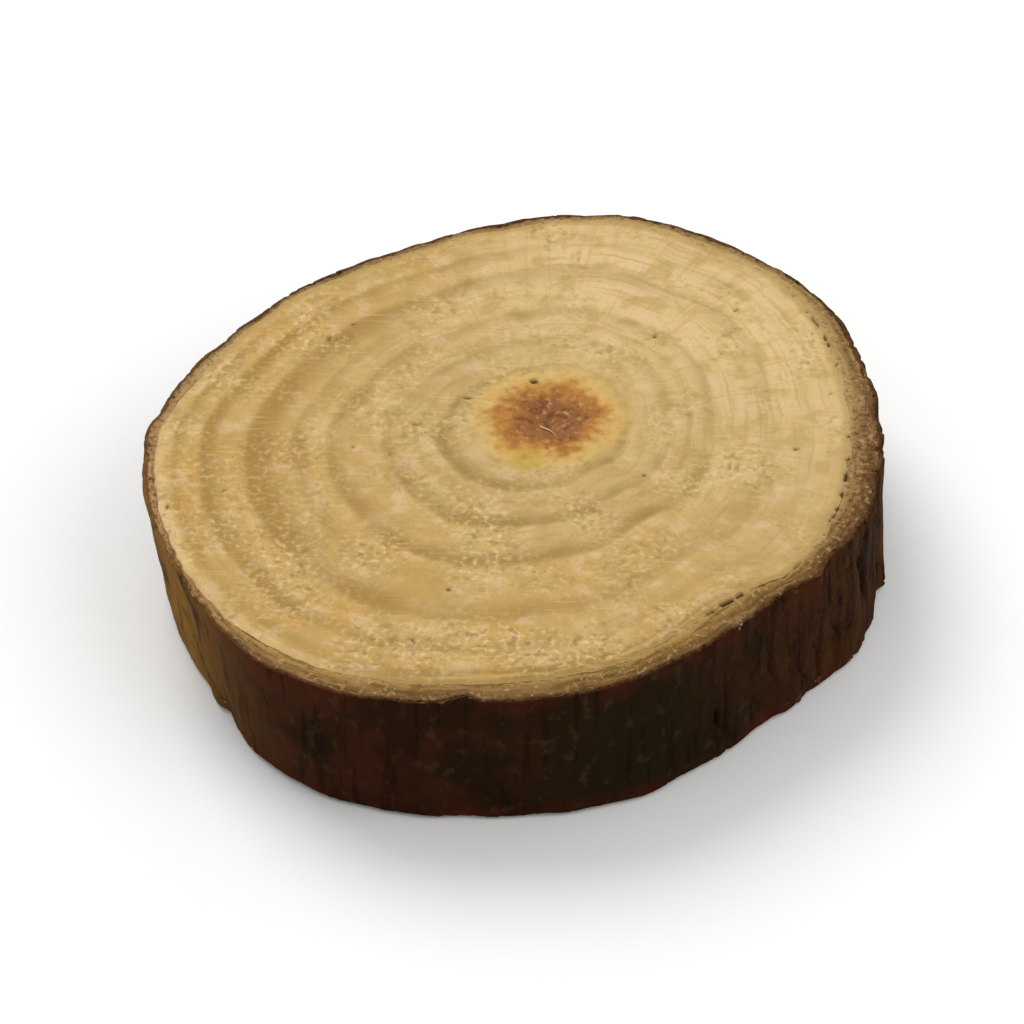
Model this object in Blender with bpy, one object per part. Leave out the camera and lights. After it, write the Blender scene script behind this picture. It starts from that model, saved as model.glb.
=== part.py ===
"""A slice sawn straight across a small branch, lying on its lower cut.

It is one grown piece, the wood with its bark still on, so it is one solid. Units are metres, +Z is up, and
the origin is the middle of the slice's box on the plane of the lower cut. A stack of rings of points goes
round the branch. Formulas place them: the outline's lobes, the bark's ribs, cracks, knobs and chips, and the
pith's hollow. Bearings are in degrees from +X towards +Y, and heights are shares of the thickness, from 0 at
the lower cut.
"""

import math

import bmesh
import bpy
from mathutils import Vector, noise

MM = 0.001

# Driving dimensions of the slice
THICKNESS = 6.8 * MM
MEAN_RADIUS = 15.4 * MM
LEAN = Vector((0.45, 0.0)) * MM
TAPER = 0.1 * MM

# One side draws in below, down to the lower cut
WAIST_AT = 213.0
WAIST_SPREAD = 27.0
WAIST_DEPTH = 0.5 * MM

# Lobes of the outline: how many go round the branch, how far each stands out, and the bearing of one crest
LOBES = (
    (2, 1.14 * MM, 44.0),
    (3, 0.06 * MM, 65.0),
    (4, 0.22 * MM, 75.0),
    (6, 0.12 * MM, 51.0),
    (7, 0.14 * MM, 32.0),
)

# Single stretches of the outline stand out or, with a rise below zero, are flatter: (bearing, spread, rise)
SWELLINGS = (
    (-8.0, 20.0, -0.28 * MM),
    (44.0, 10.0, 0.08 * MM),
    (74.0, 10.0, 0.26 * MM),
    (138.0, 12.0, 0.21 * MM),
)

# The bark is a thin skin, thicker to one side, and its rim is worn down a little below each cut. Single
# stretches of it differ: (bearing, spread, how much thicker)
BARK_MEAN = 1.1 * MM
BARK_SWING = 0.4 * MM
BARK_THICKEST_AT = 5.0
BARK_CHANGES = (
    (46.0, 14.0, -0.22 * MM),
    (80.0, 38.0, -0.42 * MM),
    (130.0, 22.0, -0.22 * MM),
    (209.0, 14.0, -0.30 * MM),
    (243.0, 16.0, 0.20 * MM),
    (329.0, 10.0, -0.50 * MM),
)
RIM_DROP = 0.14 * MM
RIM_INSET = 0.24 * MM
RIM_KNEE = 0.3 * RIM_DROP

# Ribs that run up the branch and flat scales on them, higher on the rough sides: (bearing, spread, share)
RIB_PITCH = 1.5 * MM
RIB_LENGTH = 9.0 * MM
RIB_HEIGHT_SMOOTH = 0.12 * MM
RIB_HEIGHT_ROUGH = 0.36 * MM
SCALE_PITCH = 2.6 * MM
SCALE_HEIGHT = 0.12 * MM
SCALE_OFFSET = Vector((7.3, 3.1, 5.7))
ROUGH_SIDES = ((-12.0, 42.0, 1.0), (128.0, 55.0, 0.3))

# Cracks: the bearing and height of both ends, half width and depth
CRACKS = (
    ((207.0, 0.60), (221.0, -0.05), 0.55 * MM, 0.34 * MM),
    ((304.5, 0.46), (306.5, 0.14), 0.45 * MM, 0.20 * MM),
    ((340.0, 0.82), (344.0, 0.30), 0.50 * MM, 0.26 * MM),
    ((352.0, 0.60), (354.0, -0.05), 0.50 * MM, 0.22 * MM),
    ((18.0, 0.85), (15.0, 0.25), 0.55 * MM, 0.26 * MM),
    ((62.0, 0.75), (60.0, -0.05), 0.50 * MM, 0.22 * MM),
    ((98.0, 0.85), (101.0, 0.30), 0.55 * MM, 0.26 * MM),
    ((121.0, 0.55), (117.0, -0.05), 0.55 * MM, 0.28 * MM),
    ((146.0, 0.80), (149.0, 0.20), 0.50 * MM, 0.22 * MM),
    ((171.0, 0.70), (168.0, -0.05), 0.50 * MM, 0.22 * MM),
)

# Knobs and, with a rise below zero, chips: bearing, height, reach and rise
KNOBS = (
    (256.0, 0.50, 0.80 * MM, 0.16 * MM),
    (231.0, 0.72, 0.80 * MM, 0.10 * MM),
    (288.0, 0.30, 0.90 * MM, 0.10 * MM),
    (75.0, 0.40, 1.00 * MM, 0.14 * MM),
    (136.0, 0.78, 0.90 * MM, 0.14 * MM),
    (263.5, 1.02, 0.90 * MM, -0.24 * MM),
    (322.0, 1.02, 0.90 * MM, -0.16 * MM),
    (191.0, 0.00, 1.10 * MM, -0.22 * MM),
    (40.0, -0.02, 1.20 * MM, -0.22 * MM),
)

# The pith lies off the middle, and is a shallow hollow in both cuts
PITH_AT = Vector((1.0, 1.6)) * MM
PITH_RADIUS = 1.5 * MM
PITH_DEPTH = 0.26 * MM

# How finely the solid is divided
COLUMNS = 176
LEVELS = 11
PITH_COLUMNS = 28
PITH_STEPS = 4
SMOOTH_ANGLE = math.radians(35)

# Linear colours, and which material index each has on the slice
WOOD_COLOUR = (0.62, 0.42, 0.20)
BARK_COLOUR = (0.045, 0.024, 0.014)
WOOD_ROUGHNESS = 0.75
BARK_ROUGHNESS = 0.7
WOOD, BARK = 0, 1


def toward(bearing):
    return Vector((math.cos(bearing), math.sin(bearing)))


def turn_between(a, b):
    """The turn from bearing b to bearing a, between minus half a turn and half a turn."""
    return (a - b + math.pi) % math.tau - math.pi


def bell(bearing, at, spread):
    """1 at a bearing, falling smoothly to 0 within about twice the spread."""
    share = turn_between(bearing, math.radians(at)) / math.radians(spread)
    return math.exp(-share * share)


def outline_radius(bearing, height):
    lobes = (reach * math.cos(count * (bearing - math.radians(crest))) for count, reach, crest in LOBES)
    swollen = sum(rise * bell(bearing, at, spread) for at, spread, rise in SWELLINGS)
    drawn_in = TAPER + WAIST_DEPTH * bell(bearing, WAIST_AT, WAIST_SPREAD)
    return MEAN_RADIUS + sum(lobes) + swollen - drawn_in * (1 - height)


def axis_at(height):
    """Where the branch's leaning axis passes a height, measured from its middle."""
    return LEAN * (0.5 - height)


def bark_width(bearing):
    changes = sum(thicker * bell(bearing, at, spread) for at, spread, thicker in BARK_CHANGES)
    return BARK_MEAN + BARK_SWING * math.cos(bearing - math.radians(BARK_THICKEST_AT)) + changes


def roughness_at(bearing):
    """1 in the middle of the roughest side, falling to 0 on the smooth stretches of bark."""
    return max(share * bell(bearing, at, spread) for at, spread, share in ROUGH_SIDES)


def ribs(bearing, height):
    """Ribs and scales, from smooth noise read on a plain round branch, so that they close up all round."""
    around = toward(bearing) * MEAN_RADIUS
    along = height * THICKNESS
    rib = noise.noise(Vector((around.x / RIB_PITCH, around.y / RIB_PITCH, along / RIB_LENGTH)))
    scale = noise.noise(Vector((around.x, around.y, along)) / SCALE_PITCH + SCALE_OFFSET)
    rough_part = (RIB_HEIGHT_ROUGH - RIB_HEIGHT_SMOOTH) * roughness_at(bearing)
    return rib * (RIB_HEIGHT_SMOOTH + rough_part) + scale * SCALE_HEIGHT


def hump(distance, reach):
    """1 at no distance, falling smoothly to 0 at the reach."""
    share = min(distance / reach, 1.0)
    return (1 - share * share) ** 2


def apart_on_wall(bearing, height, mark):
    """The step from a mark to a place on the unrolled wall: along the girth, and up."""
    mark_bearing, mark_height = mark
    across = turn_between(bearing, math.radians(mark_bearing)) * MEAN_RADIUS
    return Vector((across, (height - mark_height) * THICKNESS))


def crack_depth(bearing, height):
    """The deepest of the cracks here. Each is a groove along the line between its two ends."""
    deepest = 0.0
    for start, end, half_width, depth in CRACKS:
        from_start = apart_on_wall(bearing, height, start)
        line = apart_on_wall(math.radians(end[0]), end[1], start)
        share = min(max(from_start.dot(line) / line.length_squared, 0.0), 1.0)
        deepest = max(deepest, depth * hump((from_start - line * share).length, half_width))
    return deepest


def knob_rise(bearing, height):
    marks = ((apart_on_wall(bearing, height, (at, up)).length, reach, rise) for at, up, reach, rise in KNOBS)
    return sum(rise * hump(distance, reach) for distance, reach, rise in marks)


def bark_point(bearing, height, inset=0.0):
    relief = ribs(bearing, height) + knob_rise(bearing, height) - crack_depth(bearing, height)
    return axis_at(height) + toward(bearing) * (outline_radius(bearing, height) + relief - inset)


def wood_edge_point(bearing, height):
    """Where the wood meets the bark on a cut."""
    return axis_at(height) + toward(bearing) * (outline_radius(bearing, height) - bark_width(bearing))


def pith_point(bearing, height, share):
    """A place in the pith's hollow, with share from 1 at its edge to 0 in its middle."""
    return axis_at(height) + PITH_AT + toward(bearing) * PITH_RADIUS * share


def new_ring(bm, columns):
    """A ring of unit radius. Its points keep their bearings until they are placed."""
    return bmesh.ops.create_circle(bm, cap_ends=False, radius=1.0, segments=columns)["verts"]


def edges_of(bm, ring):
    members = set(ring)
    return [edge for edge in bm.edges if members.issuperset(edge.verts)]


def extruded_ring(bm, ring):
    """The next ring of a wall, joined to the ring before it by faces."""
    made = bmesh.ops.extrude_edge_only(bm, edges=edges_of(bm, ring))["geom"]
    return [item for item in made if isinstance(item, bmesh.types.BMVert)]


def ring_stack(bm, columns, count):
    rings = [new_ring(bm, columns)]
    while len(rings) < count:
        rings.append(extruded_ring(bm, rings[-1]))
    return rings


def place_ring(ring, z, point_at):
    """Moves each point of a unit ring to where a formula puts its bearing."""
    for vert in ring:
        point = point_at(math.atan2(vert.co.y, vert.co.x))
        vert.co = (point.x, point.y, z)


def add_wall(bm):
    """The bark all round, with a worn rim at each cut. The outermost two rings are where wood meets bark."""
    wall_rings = LEVELS + 1
    lower_edge, lower_rim, *wall, upper_rim, upper_edge = ring_stack(bm, COLUMNS, wall_rings + 4)
    worn_share = RIM_DROP / THICKNESS
    place_ring(lower_edge, 0.0, lambda bearing: wood_edge_point(bearing, 0.0))
    place_ring(lower_rim, RIM_KNEE, lambda bearing: bark_point(bearing, 0.0, RIM_INSET))
    for level, ring in enumerate(wall):
        height = worn_share + (1 - 2 * worn_share) * level / LEVELS
        place_ring(ring, height * THICKNESS, lambda bearing: bark_point(bearing, height))
    place_ring(upper_rim, THICKNESS - RIM_KNEE, lambda bearing: bark_point(bearing, 1.0, RIM_INSET))
    place_ring(upper_edge, THICKNESS, lambda bearing: wood_edge_point(bearing, 1.0))
    return lower_edge, upper_edge


def add_cut(bm, wood_edge, height):
    """One saw cut: a flat face from the wood's edge in to the pith, then the hollow with its flat floor."""
    z = height * THICKNESS
    inward = -1 if height > 0.5 else 1
    rings = ring_stack(bm, PITH_COLUMNS, PITH_STEPS)
    hollow_edges = edges_of(bm, rings[0])
    floor_edges = edges_of(bm, rings[-1])
    for step, ring in enumerate(rings):
        share = 1 - step / PITH_STEPS
        sunk = PITH_DEPTH * (0.5 - 0.5 * math.cos(math.pi * step / (PITH_STEPS - 1)))
        place_ring(ring, z + inward * sunk, lambda bearing: pith_point(bearing, height, share))
    bmesh.ops.triangle_fill(bm, edges=edges_of(bm, wood_edge) + hollow_edges, use_beauty=True)
    bmesh.ops.contextual_create(bm, geom=floor_edges)


def centre_on_origin(bm):
    """Puts the middle of the slice's box over the origin, with the lower cut left at height 0."""
    xs = [vert.co.x for vert in bm.verts]
    ys = [vert.co.y for vert in bm.verts]
    middle = Vector(((min(xs) + max(xs)) / 2, (min(ys) + max(ys)) / 2, 0.0))
    bmesh.ops.translate(bm, verts=bm.verts[:], vec=-middle)


def new_material(name, colour, roughness):
    material = bpy.data.materials.new(name)
    material.use_nodes = True
    shader = material.node_tree.nodes["Principled BSDF"]
    shader.inputs["Base Color"].default_value = (*colour, 1.0)
    shader.inputs["Roughness"].default_value = roughness
    shader.inputs["Metallic"].default_value = 0.0
    material.diffuse_color = (*colour, 1.0)
    return material


def paint_faces(bm):
    """Wood on the cuts and bark outside them. A face is wood when it lies within the wood's edge."""
    for face in bm.faces:
        middle = face.calc_center_median()
        height = min(max(middle.z / THICKNESS, 0.0), 1.0)
        offset = middle.xy - axis_at(height)
        bearing = math.atan2(offset.y, offset.x)
        is_bark = offset.length > outline_radius(bearing, height) - bark_width(bearing)
        face.material_index = BARK if is_bark else WOOD
        face.smooth = is_bark


def build_wood_slice():
    bm = bmesh.new()
    lower_edge, upper_edge = add_wall(bm)
    add_cut(bm, lower_edge, 0.0)
    add_cut(bm, upper_edge, 1.0)
    bmesh.ops.recalc_face_normals(bm, faces=bm.faces[:])
    paint_faces(bm)
    centre_on_origin(bm)
    mesh = bpy.data.meshes.new("wood_slice")
    bm.to_mesh(mesh)
    bm.free()
    mesh.materials.append(new_material("sawn_wood", WOOD_COLOUR, WOOD_ROUGHNESS))
    mesh.materials.append(new_material("bark", BARK_COLOUR, BARK_ROUGHNESS))
    mesh.set_sharp_from_angle(angle=SMOOTH_ANGLE)
    slice_object = bpy.data.objects.new("wood_slice", mesh)
    bpy.context.scene.collection.objects.link(slice_object)
    return slice_object


def clear_scene():
    for old in list(bpy.data.objects):
        bpy.data.objects.remove(old, do_unlink=True)


clear_scene()
build_wood_slice()
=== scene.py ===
# %% [markdown]
# # A slice of a small branch
#
# The real object is a disc, about 32 mm across, sawn off a dry branch. It has three things to look at:
# the sawn wood with its growth rings and rusty pith, the fibrous inner bark round it, and the thin dark
# outer bark.
#
# The solid of the slice is already packed as a fixed frame. This lesson leaves that solid alone and
# builds three finer meshes in exactly its place, so the first step is to load it and note its box, in
# metres. The noise gets its seed here too: without one, its vectors are drawn anew from the clock, and
# no two runs give quite the same bark.

# %% Load the fixed frame
import functools
import math
import random

import bmesh
import bpy
from mathutils import Matrix, Vector, noise


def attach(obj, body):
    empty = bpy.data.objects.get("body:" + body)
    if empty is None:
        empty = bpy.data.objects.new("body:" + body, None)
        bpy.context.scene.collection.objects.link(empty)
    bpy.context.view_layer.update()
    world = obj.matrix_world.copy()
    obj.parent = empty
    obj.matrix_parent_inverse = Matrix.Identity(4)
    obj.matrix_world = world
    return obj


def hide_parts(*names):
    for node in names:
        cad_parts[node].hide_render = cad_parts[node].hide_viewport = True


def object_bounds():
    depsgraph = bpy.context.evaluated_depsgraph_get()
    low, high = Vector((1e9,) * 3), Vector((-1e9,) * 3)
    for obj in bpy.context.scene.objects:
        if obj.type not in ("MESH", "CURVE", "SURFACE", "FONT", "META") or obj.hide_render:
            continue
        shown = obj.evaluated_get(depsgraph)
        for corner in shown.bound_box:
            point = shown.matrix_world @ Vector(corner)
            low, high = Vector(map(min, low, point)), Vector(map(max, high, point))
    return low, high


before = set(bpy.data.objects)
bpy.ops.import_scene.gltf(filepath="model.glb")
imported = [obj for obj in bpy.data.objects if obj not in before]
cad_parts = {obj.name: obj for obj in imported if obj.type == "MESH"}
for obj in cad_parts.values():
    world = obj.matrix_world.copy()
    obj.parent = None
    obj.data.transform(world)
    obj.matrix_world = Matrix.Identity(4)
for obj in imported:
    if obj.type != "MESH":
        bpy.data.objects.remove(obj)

MM = 0.001
NOISE_SEED = 7
noise.seed_set(NOISE_SEED)
cad_low, cad_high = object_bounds()
THICKNESS = cad_high.z - cad_low.z
print("solid, mm:", [round(side / MM, 2) for side in cad_high - cad_low])

# %% [markdown]
# ## Camera
#
# The slice is seen from about 42 degrees above the table. The camera could be placed by eye, but a
# position worked out from the picture keeps the ellipse of the cut and the height of the bark in their
# true proportion. The frame is closed in on the slice, which is the same as a crop of the picture: only
# the focal length grows.

# %% Place the camera
SENSOR_WIDTH = 36.0
PHOTO_FOCAL = 1800.0
CROP_SIDE = 417.0
CLIP_START = 10 * MM
CAMERA_AT = Vector((4.21, -139.22, 128.63)) * MM
AIM_AT = Vector((-0.23, -0.63, 3.4)) * MM


def add_camera():
    lens = bpy.data.cameras.new("portrait_camera")
    lens.sensor_width = SENSOR_WIDTH
    lens.lens = SENSOR_WIDTH * PHOTO_FOCAL / CROP_SIDE
    lens.clip_start = CLIP_START
    camera = bpy.data.objects.new("portrait_camera", lens)
    camera.location = CAMERA_AT
    camera.rotation_euler = (AIM_AT - CAMERA_AT).to_track_quat("-Z", "Y").to_euler()
    bpy.context.scene.collection.objects.link(camera)
    bpy.context.scene.camera = camera
    return camera


camera = add_camera()
print("focal length, mm:", round(camera.data.lens, 1))

# %% [markdown]
# ## Light
#
# The picture is a bright studio shot: even light from all round, a little more of it from above, and no
# hard shadow. A white world gives the even part, and two large soft lamps give the cut its slight shine
# and let the relief show. The Standard view keeps colours as they are chosen, where a film-like view
# would fade them.

# %% Light the scene
WORLD_STRENGTH = 0.66
KEY_AT = Vector((-160.0, 210.0, 330.0)) * MM
KEY_SIZE = 260 * MM
KEY_POWER = 0.9
FILL_AT = Vector((240.0, -120.0, 260.0)) * MM
FILL_SIZE = 320 * MM
FILL_POWER = 0.35


def add_lamp(name, place, size, power):
    light = bpy.data.lights.new(name, "AREA")
    light.shape = "DISK"
    light.size = size
    light.energy = power
    lamp = bpy.data.objects.new(name, light)
    lamp.location = place
    lamp.rotation_euler = (-place).to_track_quat("-Z", "Y").to_euler()
    bpy.context.scene.collection.objects.link(lamp)


def add_world(strength):
    world = bpy.data.worlds.new("white_studio")
    world.use_nodes = True
    background = world.node_tree.nodes["Background"]
    background.inputs["Color"].default_value = (1.0, 1.0, 1.0, 1.0)
    background.inputs["Strength"].default_value = strength
    bpy.context.scene.world = world


add_lamp("key_lamp", KEY_AT, KEY_SIZE, KEY_POWER)
add_lamp("fill_lamp", FILL_AT, FILL_SIZE, FILL_POWER)
add_world(WORLD_STRENGTH)
bpy.context.scene.view_settings.view_transform = "Standard"

# %% [markdown]
# ## Helpers for materials
#
# Every colour below is written as the sRGB hex value that a paint program shows, and one function turns
# it into the linear numbers that Blender works with. A second function adds a node: a number or colour
# sets a socket, and an output of another node is linked to it. On top of these two, a coat is one layer
# of paint. It lies where a value has passed a first threshold and is full beyond the second, so a
# material reads as a list of coats. Streaks are noise that is drawn out in one direction, as fibres and
# scratches are.

# %% Helpers for colours and nodes
FACTOR, FIRST, SECOND, MIXED = 0, 6, 7, 2


def linear(hex_code):
    channels = [int(hex_code[place : place + 2], 16) / 255 for place in (0, 2, 4)]
    return (*[c / 12.92 if c <= 0.04045 else ((c + 0.055) / 1.055) ** 2.4 for c in channels], 1.0)


def set_sockets(tree, node, inputs):
    for socket, value in inputs.items():
        if isinstance(value, bpy.types.NodeSocket):
            tree.links.new(value, node.inputs[socket])
        else:
            node.inputs[socket].default_value = value


def add_node(tree, kind, inputs, output=0, **settings):
    node = tree.nodes.new("ShaderNode" + kind)
    for name, value in settings.items():
        setattr(node, name, value)
    set_sockets(tree, node, inputs)
    return node.outputs[output]


def coat(tree, under, hex_code, where, low, high, most=1.0, within=1.0):
    """Paints a colour over what lies under it. With low above high, it lies where the value is small."""
    spread = {"Value": where, "From Min": low, "From Max": high, "To Max": most}
    share = add_node(tree, "MapRange", spread, interpolation_type="SMOOTHSTEP")
    amount = add_node(tree, "Math", {0: share, 1: within}, operation="MULTIPLY")
    sockets = {FACTOR: amount, FIRST: under, SECOND: linear(hex_code)}
    return add_node(tree, "Mix", sockets, MIXED, data_type="RGBA")


def painted(tree, ground, coats):
    """The colour that a list of coats gives on a plain ground, in the order in which they are laid."""
    colour = linear(ground)
    for layer in coats:
        colour = coat(tree, colour, *layer)
    return colour


def streaks(tree, along, scale, detail, roughness=0.5):
    """Noise drawn out by its own amount in each direction: fibres, layers or scratches."""
    drawn_out = add_node(tree, "Mapping", {"Vector": along, "Scale": scale})
    look = {"Vector": drawn_out, "Scale": 1.0, "Detail": detail, "Roughness": roughness}
    return add_node(tree, "TexNoise", look)


def new_material(name, values=()):
    """A new material, its place on the object, and the values that its mesh carries."""
    material = bpy.data.materials.new(name)
    material.use_nodes = True
    tree = material.node_tree
    place = add_node(tree, "TexCoord", {}, output=3)
    carried = [add_node(tree, "Attribute", {}, output=2, attribute_name=value) for value in values]
    return material, tree, place, carried


def finish_surface(tree, looks):
    set_sockets(tree, tree.nodes["Principled BSDF"], looks)


print("a mid tan in linear numbers:", [round(c, 3) for c in linear("D2B07A")])

# %% [markdown]
# ## Floor
#
# The slice lies on a plain pale sheet. A flat disc is enough, but a sheet of paper is never one flat
# tone, so a faint cloudiness goes into its colour.

# %% Lay the floor
FLOOR_RADIUS = 900 * MM
FLOOR_SIDES = 96
FLOOR_GAP = 0.02 * MM
PAPER_CLOUD = 40 * MM


def paper_material():
    """Matt white paper, pressed: soft, with hardly any shine."""
    material, tree, place, _ = new_material("matt_white_paper")
    cloud = add_node(tree, "TexNoise", {"Vector": place, "Scale": 1 / PAPER_CLOUD, "Detail": 2.0})
    tones = {FACTOR: cloud, FIRST: linear("F7F7F5"), SECOND: linear("F1F2F2")}
    tint = add_node(tree, "Mix", tones, MIXED, data_type="RGBA")
    finish_surface(tree, {"Base Color": tint, "Roughness": 0.9, "Specular IOR Level": 0.2})
    return material


def add_floor():
    bm = bmesh.new()
    bmesh.ops.create_circle(bm, cap_ends=True, radius=FLOOR_RADIUS, segments=FLOOR_SIDES)
    bmesh.ops.translate(bm, verts=bm.verts[:], vec=(0.0, 0.0, cad_low.z - FLOOR_GAP))
    mesh = bpy.data.meshes.new("paper_floor")
    bm.to_mesh(mesh)
    bm.free()
    mesh.materials.append(paper_material())
    floor = bpy.data.objects.new("paper_floor", mesh)
    bpy.context.scene.collection.objects.link(floor)


add_floor()
print("floor radius, m:", FLOOR_RADIUS)

# %% [markdown]
# ## The form of the branch
#
# A branch isn't round. Its outline is a circle with a few waves laid over it, which make it oval and give
# it corners, and a few bells, which swell or flatten single places. These are the same driving sizes and
# formulas as the solid has, so the finer meshes fall on its surface. Bearings run from +X towards +Y, and
# heights are shares of the thickness.

# %% Outline of the branch
MEAN_RADIUS = 15.4 * MM
LEAN = Vector((0.45, 0.0)) * MM
TAPER = 0.1 * MM
WAIST_AT = 213.0
WAIST_SPREAD = 27.0
WAIST_DEPTH = 0.5 * MM
LOBES = (
    (2, 1.14 * MM, 44.0),
    (3, 0.06 * MM, 65.0),
    (4, 0.22 * MM, 75.0),
    (6, 0.12 * MM, 51.0),
    (7, 0.14 * MM, 32.0),
)
SWELLINGS = (
    (-8.0, 20.0, -0.28 * MM),
    (44.0, 10.0, 0.08 * MM),
    (74.0, 10.0, 0.26 * MM),
    (138.0, 12.0, 0.21 * MM),
)


def toward(bearing):
    return Vector((math.cos(bearing), math.sin(bearing)))


def turn_between(a, b):
    return (a - b + math.pi) % math.tau - math.pi


def bell(bearing, at, spread):
    """1 at a bearing, falling smoothly to 0 within about twice the spread."""
    share = turn_between(bearing, math.radians(at)) / math.radians(spread)
    return math.exp(-share * share)


def bells(bearing, marks):
    """The sum of bells, each given by its bearing, spread and height."""
    return sum(height * bell(bearing, at, spread) for at, spread, height in marks)


def highest_bell(bearing, marks):
    return max(height * bell(bearing, at, spread) for at, spread, height in marks)


@functools.cache
def lobes_at(bearing):
    """What the lobes, the swellings and the flatter side add to the radius."""
    lobes = sum(reach * math.cos(count * (bearing - math.radians(crest))) for count, reach, crest in LOBES)
    return lobes + bells(bearing, SWELLINGS)


@functools.cache
def drawn_in_at(bearing):
    return TAPER + WAIST_DEPTH * bell(bearing, WAIST_AT, WAIST_SPREAD)


def outline_radius(bearing, height):
    return MEAN_RADIUS + lobes_at(bearing) - drawn_in_at(bearing) * (1 - height)


def axis_at(height):
    return LEAN * (0.5 - height)


def branch_point(bearing, height, radius):
    return axis_at(height) + toward(bearing) * radius


print("radius towards +X, mm:", round(outline_radius(0.0, 1.0) / MM, 2))

# %% [markdown]
# ## How thick the bark is
#
# Bark isn't equally thick all round. One side of a branch sees more weather, and the wood's edge wanders
# besides. A cosine gives the slow change, and a few bells thin or thicken single stretches. Noise read
# round the girth makes the last, ragged part: it closes up on itself, because it is read along a circle.

# %% Widths of the two barks
BARK_MEAN = 1.1 * MM
BARK_SWING = 0.4 * MM
BARK_THICKEST_AT = 5.0
BARK_CHANGES = (
    (46.0, 14.0, -0.22 * MM),
    (80.0, 38.0, -0.42 * MM),
    (130.0, 22.0, -0.22 * MM),
    (209.0, 14.0, -0.30 * MM),
    (243.0, 16.0, 0.20 * MM),
    (329.0, 10.0, -0.50 * MM),
)
OUTER_MEAN = 0.17 * MM
OUTER_CHANGES = ((120.0, 60.0, 0.10 * MM),)
BARK_RAG = ((0.12 * MM, 1.3 * MM, 2.5), (0.07 * MM, 0.4 * MM, 7.5))
OUTER_RAG = ((0.09 * MM, 1.3 * MM, 11.5), (0.08 * MM, 0.4 * MM, 15.5))


def waver(bearing, pitch, offset):
    """Smooth noise along the girth, with one swing for about each pitch."""
    around = toward(bearing) * (MEAN_RADIUS / pitch)
    return noise.noise(Vector((around.x, around.y, offset)))


def rag_at(bearing, wavers):
    """The ragged line between two layers: a coarse waver and a fine one, added up."""
    return sum(depth * waver(bearing, pitch, offset) for depth, pitch, offset in wavers)


@functools.cache
def bark_width(bearing):
    slow = BARK_SWING * math.cos(bearing - math.radians(BARK_THICKEST_AT))
    return BARK_MEAN + slow + bells(bearing, BARK_CHANGES) + rag_at(bearing, BARK_RAG)


@functools.cache
def outer_width(bearing):
    return OUTER_MEAN + bells(bearing, OUTER_CHANGES) + rag_at(bearing, OUTER_RAG)


print("bark width at the front, mm:", round(bark_width(math.radians(270)) / MM, 2))

# %% [markdown]
# ## Ribs and scales of the bark
#
# As the branch thickened, its skin tore into upright ribs and dried into scales. They repeat the solid's:
# noise stretched along the branch for the ribs, and even noise for the scales. The right side is much
# rougher than the others, so the height of the ribs follows a bell round the girth.

# %% Ribs of the bark
RIB_PITCH = 1.5 * MM
RIB_LENGTH = 9.0 * MM
RIB_HEIGHT_SMOOTH = 0.12 * MM
RIB_HEIGHT_ROUGH = 0.36 * MM
SCALE_PITCH = 2.6 * MM
SCALE_HEIGHT = 0.12 * MM
SCALE_OFFSET = Vector((7.3, 3.1, 5.7))
ROUGH_SIDES = ((-12.0, 42.0, 1.0), (128.0, 55.0, 0.3))


@functools.cache
def roughness_at(bearing):
    return highest_bell(bearing, ROUGH_SIDES)


def on_branch(bearing, height):
    """The place on a plain round branch, where noise is read so that it closes up all the way round."""
    around = toward(bearing) * MEAN_RADIUS
    return Vector((around.x, around.y, height * THICKNESS))


def ribs(bearing, height):
    place = on_branch(bearing, height)
    rib = noise.noise(Vector((place.x / RIB_PITCH, place.y / RIB_PITCH, place.z / RIB_LENGTH)))
    scale = noise.noise(place / SCALE_PITCH + SCALE_OFFSET)
    rough_part = (RIB_HEIGHT_ROUGH - RIB_HEIGHT_SMOOTH) * roughness_at(bearing)
    return rib * (RIB_HEIGHT_SMOOTH + rough_part) + scale * SCALE_HEIGHT


print("ribs at the front, mm:", round(ribs(math.radians(270), 0.5) / MM, 3))

# %% [markdown]
# ## Cracks, knobs and chips
#
# Drying has cracked the bark in ten places. A crack is a groove between two points of the wall: it winds,
# because noise moves it sideways, and it thins out at its tips. Knobs are small round humps, and chips,
# pushed inwards, are the same with a negative height. These too are where the solid has them.

# %% Cracks and knobs of the bark
CRACKS = (
    ((207.0, 0.60), (221.0, -0.05), 0.55 * MM, 0.34 * MM),
    ((304.5, 0.46), (306.5, 0.14), 0.45 * MM, 0.20 * MM),
    ((340.0, 0.82), (344.0, 0.30), 0.50 * MM, 0.26 * MM),
    ((352.0, 0.60), (354.0, -0.05), 0.50 * MM, 0.22 * MM),
    ((18.0, 0.85), (15.0, 0.25), 0.55 * MM, 0.26 * MM),
    ((62.0, 0.75), (60.0, -0.05), 0.50 * MM, 0.22 * MM),
    ((98.0, 0.85), (101.0, 0.30), 0.55 * MM, 0.26 * MM),
    ((121.0, 0.55), (117.0, -0.05), 0.55 * MM, 0.28 * MM),
    ((146.0, 0.80), (149.0, 0.20), 0.50 * MM, 0.22 * MM),
    ((171.0, 0.70), (168.0, -0.05), 0.50 * MM, 0.22 * MM),
)
KNOBS = (
    (256.0, 0.50, 0.80 * MM, 0.16 * MM),
    (231.0, 0.72, 0.80 * MM, 0.10 * MM),
    (288.0, 0.30, 0.90 * MM, 0.10 * MM),
    (75.0, 0.40, 1.00 * MM, 0.14 * MM),
    (136.0, 0.78, 0.90 * MM, 0.14 * MM),
    (263.5, 1.02, 0.90 * MM, -0.24 * MM),
    (322.0, 1.02, 0.90 * MM, -0.16 * MM),
    (191.0, 0.00, 1.10 * MM, -0.22 * MM),
    (40.0, -0.02, 1.20 * MM, -0.22 * MM),
)
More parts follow.
